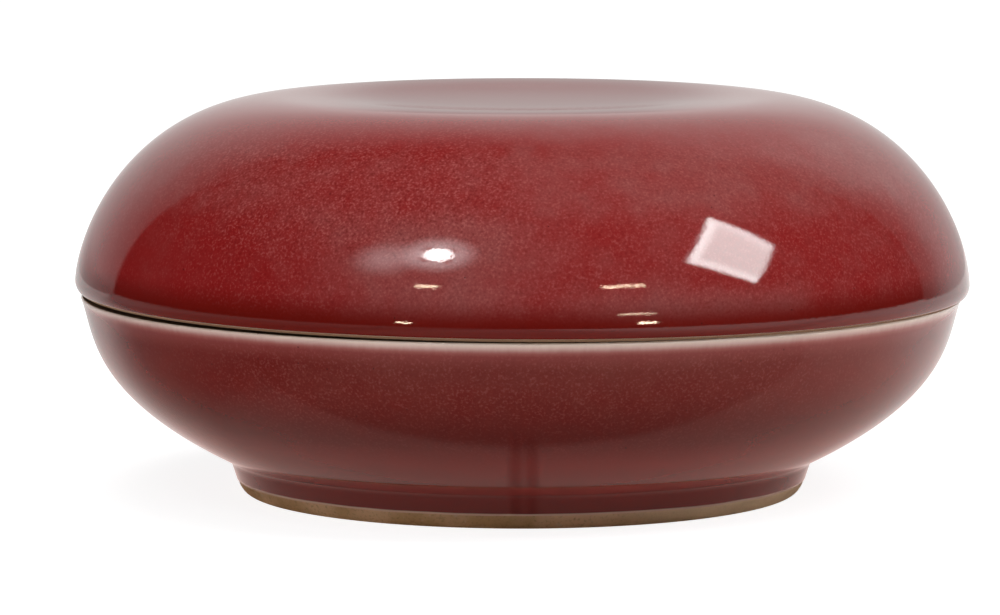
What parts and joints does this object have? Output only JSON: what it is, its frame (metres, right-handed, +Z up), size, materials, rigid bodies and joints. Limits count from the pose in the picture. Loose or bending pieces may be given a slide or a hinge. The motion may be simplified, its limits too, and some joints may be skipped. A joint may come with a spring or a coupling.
{
  "type": "covered box",
  "caption": "Round porcelain box on a turned foot ring, with an upright lip and a domed lift-off cover with a sunken crown, in copper-red glaze.",
  "frame": {"origin": "on the table, under the middle of the foot ring", "axes": "+Z up along the turning axis, through the middle of the cover; X and Y are free, because both pieces are round"},
  "size_m": [0.24, 0.24, 0.1064],
  "materials": {
    "box_glaze": "glossy mottled copper-red glaze, white where it thins at the rim, bare fired porcelain on the lip and foot",
    "cover_glaze": "glossy mottled copper-red glaze, deeper at the lower edge, bare fired porcelain round the mouth"
  },
  "bodies": {
    "box": {"box": "box_glaze"},
    "cover": {"cover": "cover_glaze"}
  },
  "joints": [
    {"name": "cover_lift", "type": "slide", "parent": "box", "child": "cover", "axis": [0, 0, 1], "range_m": [0, 0.15]}
  ]
}
